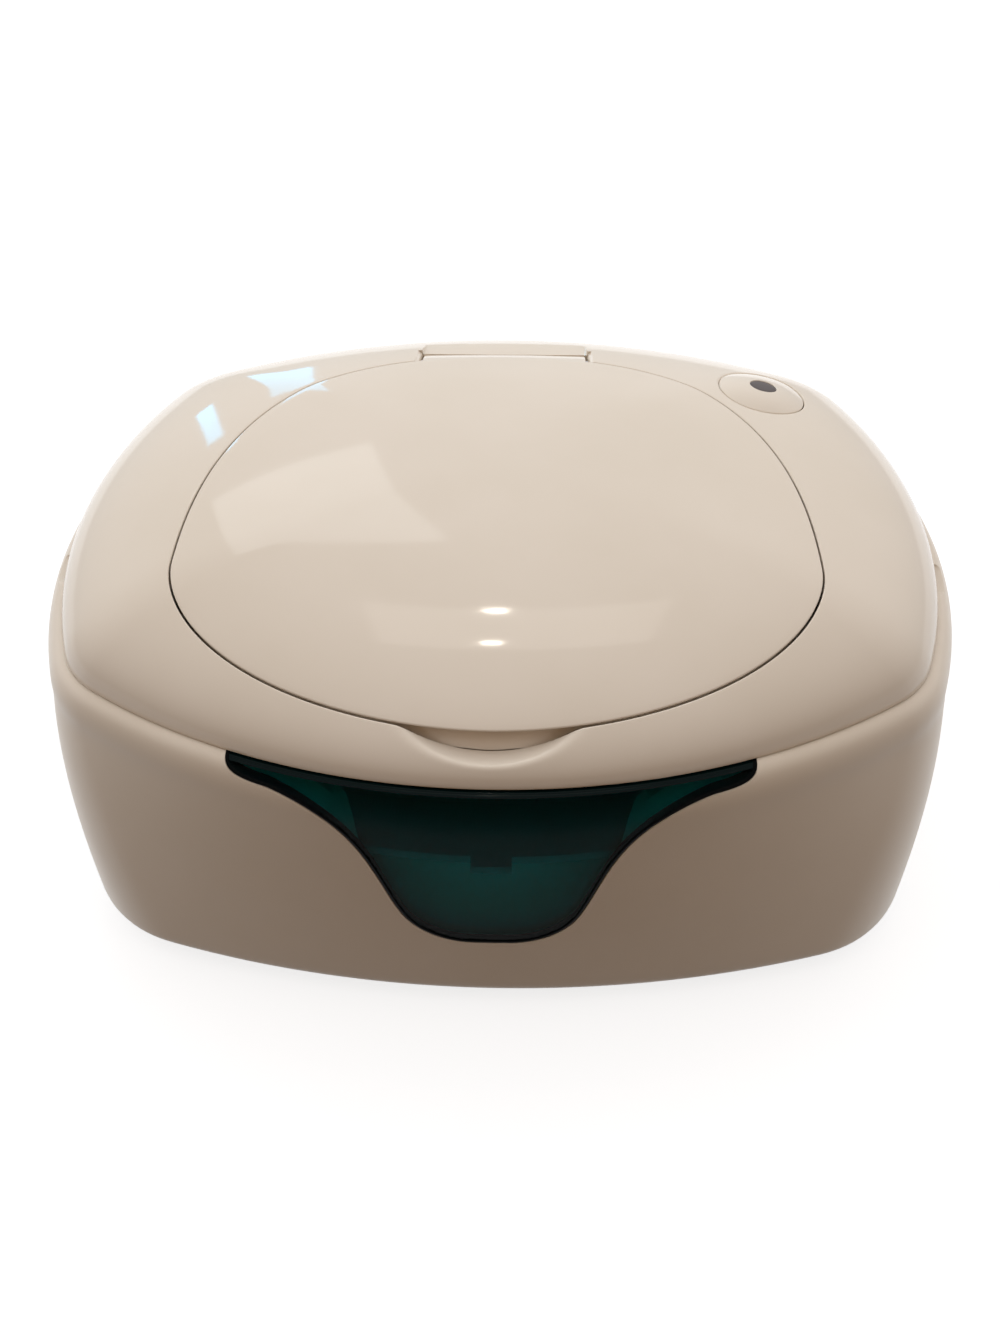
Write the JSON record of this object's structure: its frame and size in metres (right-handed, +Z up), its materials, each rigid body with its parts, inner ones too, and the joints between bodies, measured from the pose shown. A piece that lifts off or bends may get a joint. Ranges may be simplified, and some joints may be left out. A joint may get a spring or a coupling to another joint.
{
  "type": "baby wipe warmer",
  "caption": "Domed warmer box for baby wipes with a dark front window, a rear-hinged heated cover, a wide flip lid over the opening and an oval night-light button.",
  "frame": {"origin": "on the floor under the middle of the body", "axes": "+Z up, the window and the front face -Y, the hinge is at +Y, +X to the right"},
  "size_m": [0.244, 0.1977, 0.1093],
  "materials": {
    "body_plastic": "satin warm white",
    "cover_plastic": "glossy warm white",
    "inner_plastic": "matt off-white",
    "window_teal": "glossy dark teal, see-through",
    "seal_dark": "matt",
    "silicone": "matt translucent grey",
    "foot_rubber": "matt",
    "steel": "satin",
    "heater_metal": "satin",
    "heater_film": "amber film",
    "felt": "soft felt",
    "black_plastic": "matt",
    "ceramic": "glazed",
    "board_green": "solder mask",
    "led_clear": "clear",
    "lead_red": "smooth",
    "lead_white": "smooth",
    "lens_grey": "satin"
  },
  "bodies": {
    "base": {"body_shell": "body_plastic", "window": "window_teal", "window_gasket": "seal_dark", "wipe_tub": "inner_plastic", "tub_seal": "silicone", "base_plate": "inner_plastic", "foot_fl": "foot_rubber", "foot_fr": "foot_rubber", "foot_bl": "foot_rubber", "foot_br": "foot_rubber", "base_screw_fl": "steel", "base_screw_fr": "steel", "base_screw_bl": "steel", "base_screw_br": "steel", "hinge_pin_l": "steel", "hinge_pin_r": "steel"},
    "cover": {"top_cover": "cover_plastic", "well_deck": "inner_plastic", "mouth_seal": "silicone", "cover_liner": "inner_plastic", "heater_plate": "heater_metal", "heater_foil": "heater_film", "heater_pad": "felt", "thermostat": "black_plastic", "thermal_fuse": "ceramic", "circuit_board": "board_green", "board_screw_a": "steel", "board_screw_b": "steel", "light_switch": "black_plastic", "night_light": "led_clear", "power_jack": "black_plastic", "power_lead": "lead_red", "heater_lead": "lead_white", "liner_screw_fl": "steel", "liner_screw_fr": "steel", "liner_screw_bl": "steel", "liner_screw_br": "steel", "lid_pin_l": "steel", "lid_pin_r": "steel"},
    "lid": {"flip_lid": "cover_plastic", "lid_liner": "inner_plastic", "lid_gasket": "silicone"},
    "button": {"light_button": "cover_plastic", "button_lens": "lens_grey"}
  },
  "joints": [
    {"name": "cover_hinge", "type": "hinge", "parent": "base", "child": "cover", "pos_m": [0, 0.0942, 0.0819], "axis": [-1, 0, 0], "range_deg": [0, 85]},
    {"name": "lid_hinge", "type": "hinge", "parent": "cover", "child": "lid", "pos_m": [0, 0.057, 0.1023], "axis": [-1, 0, 0], "range_deg": [0, 95]},
    {"name": "button_press", "type": "slide", "parent": "cover", "child": "button", "axis": [-0.1724, -0.1219, -0.9775], "range_m": [0, 0.0006], "stiffness_N_per_m": 400}
  ]
}
